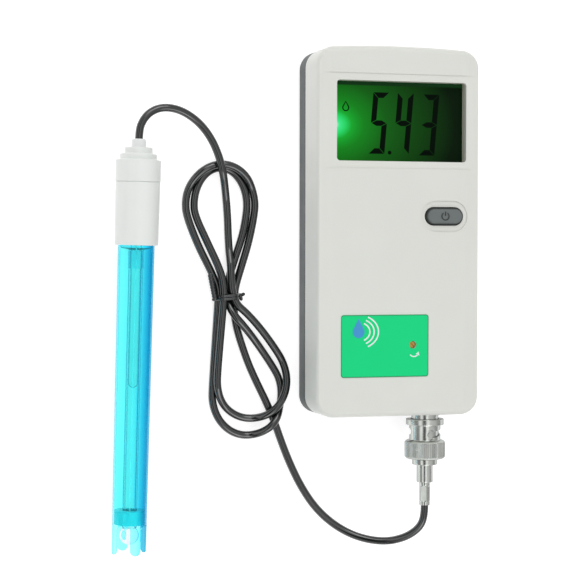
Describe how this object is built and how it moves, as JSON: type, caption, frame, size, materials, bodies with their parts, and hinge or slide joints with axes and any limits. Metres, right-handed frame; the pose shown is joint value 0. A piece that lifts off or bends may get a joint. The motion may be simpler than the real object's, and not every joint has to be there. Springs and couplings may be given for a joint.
{
  "type": "ph meter",
  "caption": "Handheld electronic pH meter with a backlit display, power key and calibration trimmer, and a corded glass pH probe on a bayonet plug.",
  "frame": {"origin": "on the case's back face, below the middle of the case", "axes": "+Z out of the front face with the display, +Y towards the display end, +X to the right of a person reading it"},
  "size_m": [0.1308, 0.181, 0.0272],
  "materials": {
    "white_plastic": "satin moulded ABS",
    "grey_plastic": "satin moulded ABS",
    "key_rubber": "matte silicone",
    "plate_green": "satin printed film",
    "lcd_glass": "lit liquid crystal panel",
    "clear_guide": "diffusing acrylic",
    "board_green": "solder-masked fibreglass",
    "black_plastic": "moulded",
    "blue_plastic": "moulded",
    "zebra_rubber": "layered elastomer",
    "screw_steel": "zinc-plated",
    "screw_brass": "machined",
    "nickel": "nickel plate",
    "gold_contact": "gold plate",
    "ptfe": "ptfe",
    "gasket_rubber": "silicone",
    "cord_black": "satin pvc jacket",
    "battery_jacket": "printed steel jacket",
    "red_wire": "pvc",
    "cap_white": "satin moulded",
    "tube_blue": "transparent polycarbonate",
    "ring_blue": "moulded",
    "clear_glass": "ph-sensitive glass",
    "silver": "silver wire"
  },
  "bodies": {
    "meter": {"amplifier_chip": "black_plastic", "back_shell": "grey_plastic", "backlight_guide": "clear_guide", "backlight_led": "ptfe", "battery": "battery_jacket", "battery_snap": "black_plastic", "battery_terminals": "nickel", "battery_wire_black": "black_plastic", "battery_wire_red": "red_wire", "bnc_jack_contact": "gold_contact", "bnc_jack_insulator": "ptfe", "bnc_jack_nut": "nickel", "bnc_jack_shell": "nickel", "bnc_lock_washer": "screw_steel", "board_screws": "screw_steel", "capacitors": "black_plastic", "case_screws": "screw_steel", "converter_chip": "black_plastic", "front_plate": "plate_green", "front_shell": "white_plastic", "lcd_frame": "white_plastic", "lcd_panel": "lcd_glass", "main_board": "board_green", "switch_body": "black_plastic", "trimmer_body": "blue_plastic", "zebra_strips": "zebra_rubber"},
    "probe_lead": {"bnc_crimp_sleeve": "nickel", "bnc_plug_body": "nickel", "bnc_plug_gasket": "gasket_rubber", "bnc_plug_insulator": "ptfe", "bnc_plug_pin": "gold_contact", "bnc_plug_spring": "screw_steel", "cord_hank": "cord_black", "cord_meter_end": "cord_black", "cord_probe_end": "cord_black", "cord_tie": "cord_black", "glass_bulb": "clear_glass", "glass_stem": "clear_glass", "probe_cap": "cap_white", "probe_collar": "cap_white", "probe_gland": "cap_white", "probe_junction": "ring_blue", "probe_stopper": "ring_blue", "probe_tube": "tube_blue", "silver_wire": "silver", "wick_tube": "clear_glass"},
    "bayonet_nut": {"bnc_plug_nut": "nickel"},
    "power_key": {"power_key": "key_rubber", "switch_plunger": "black_plastic"},
    "trimmer_screw": {"trimmer_screw": "screw_brass"},
    "battery_door": {"battery_door": "grey_plastic"}
  },
  "joints": [
    {"name": "plug_pull", "type": "slide", "parent": "meter", "child": "probe_lead", "axis": [0, -1, 0], "range_m": [0, 0.00105]},
    {"name": "nut_turn", "type": "hinge", "parent": "probe_lead", "child": "bayonet_nut", "pos_m": [0.0134, -0.075, 0.016], "axis": [0, -1, 0], "range_deg": [0, 85]},
    {"name": "key_press", "type": "slide", "parent": "meter", "child": "power_key", "axis": [0, 0, -1], "range_m": [0, 0.0011], "stiffness_N_per_m": 600, "springref_m": -0.0008},
    {"name": "trimmer_turn", "type": "hinge", "parent": "meter", "child": "trimmer_screw", "pos_m": [0.005, -0.0404, 0.023], "axis": [0, 0, 1], "continuous": true},
    {"name": "door_slide", "type": "slide", "parent": "meter", "child": "battery_door", "axis": [0, -1, 0], "range_m": [0, 0.028]}
  ],
  "couplings": [
    {"joint": "nut_turn", "follows": "plug_pull", "rad_per_m": 1412.9}
  ]
}
